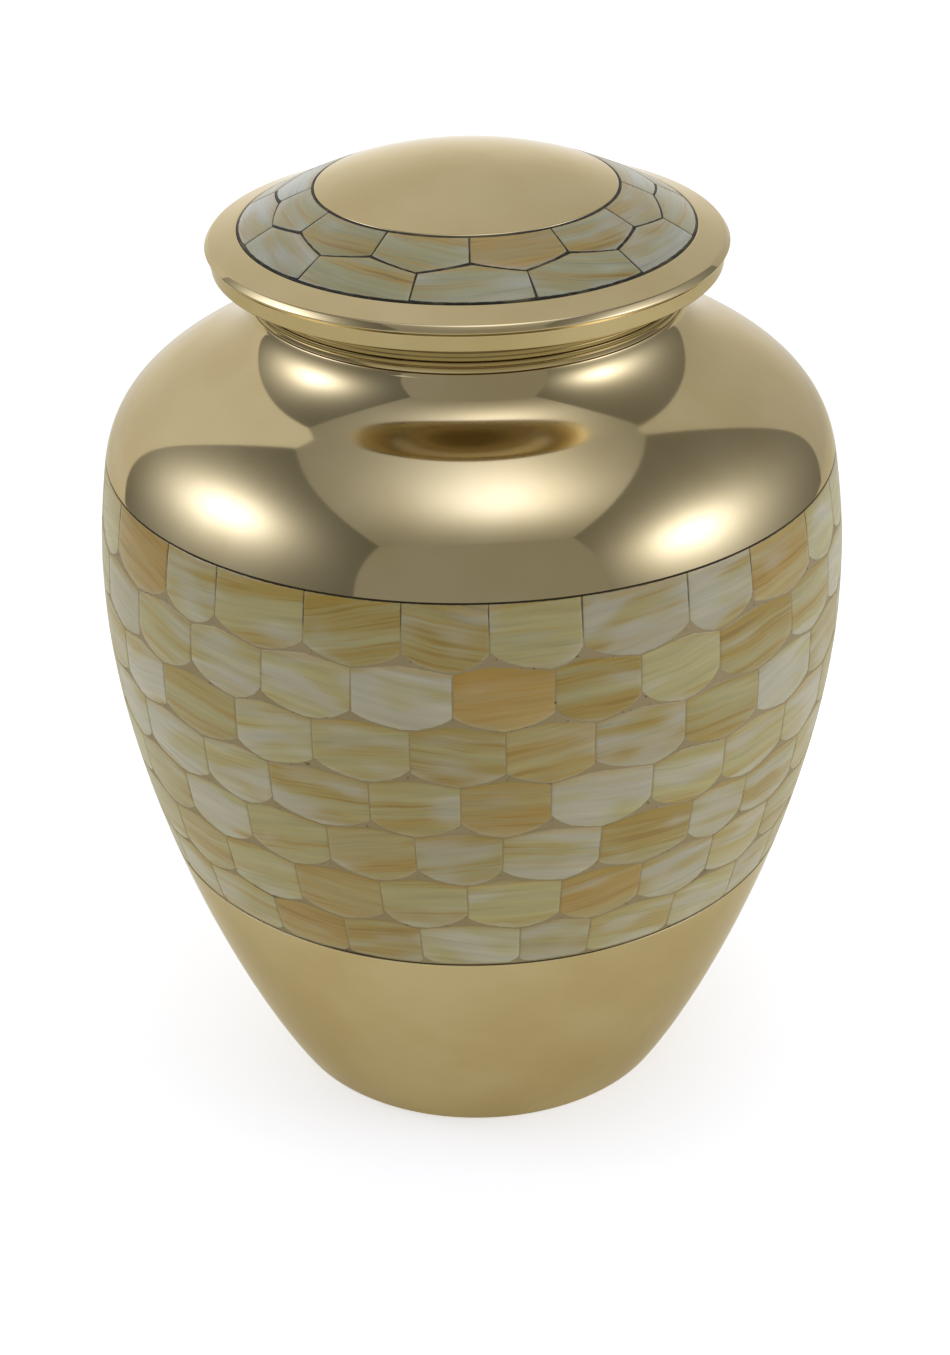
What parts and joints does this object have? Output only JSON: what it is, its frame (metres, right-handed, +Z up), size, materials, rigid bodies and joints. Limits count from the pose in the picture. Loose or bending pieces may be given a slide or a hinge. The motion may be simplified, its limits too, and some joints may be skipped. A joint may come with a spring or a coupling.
{
  "type": "cremation urn",
  "caption": "Polished brass cremation urn with a mother-of-pearl tile band round the body and a lift-off lid with a matching inlaid ring.",
  "frame": {"origin": "on the axis at the foot's flat underside", "axes": "+Z up along the axis of revolution; -Y is the front that the picture shows"},
  "size_m": [0.1846, 0.1844, 0.2418],
  "materials": {
    "brass": "mirror-polished pale gold brass",
    "mother_of_pearl": "polished, streaked mother-of-pearl",
    "resin": "dark polished resin"
  },
  "bodies": {
    "root": {"urn_body": "brass", "body_inlay": "mother_of_pearl", "lid": "brass", "lid_resin": "resin", "lid_tile_inner_01": "mother_of_pearl", "lid_tile_inner_02": "mother_of_pearl", "lid_tile_inner_03": "mother_of_pearl", "lid_tile_inner_04": "mother_of_pearl", "lid_tile_inner_05": "mother_of_pearl", "lid_tile_inner_06": "mother_of_pearl", "lid_tile_inner_07": "mother_of_pearl", "lid_tile_inner_08": "mother_of_pearl", "lid_tile_inner_09": "mother_of_pearl", "lid_tile_inner_10": "mother_of_pearl", "lid_tile_inner_11": "mother_of_pearl", "lid_tile_inner_12": "mother_of_pearl", "lid_tile_outer_01": "mother_of_pearl", "lid_tile_outer_02": "mother_of_pearl", "lid_tile_outer_03": "mother_of_pearl", "lid_tile_outer_04": "mother_of_pearl", "lid_tile_outer_05": "mother_of_pearl", "lid_tile_outer_06": "mother_of_pearl", "lid_tile_outer_07": "mother_of_pearl", "lid_tile_outer_08": "mother_of_pearl", "lid_tile_outer_09": "mother_of_pearl", "lid_tile_outer_10": "mother_of_pearl", "lid_tile_outer_11": "mother_of_pearl", "lid_tile_outer_12": "mother_of_pearl"}
  },
  "joints": []
}
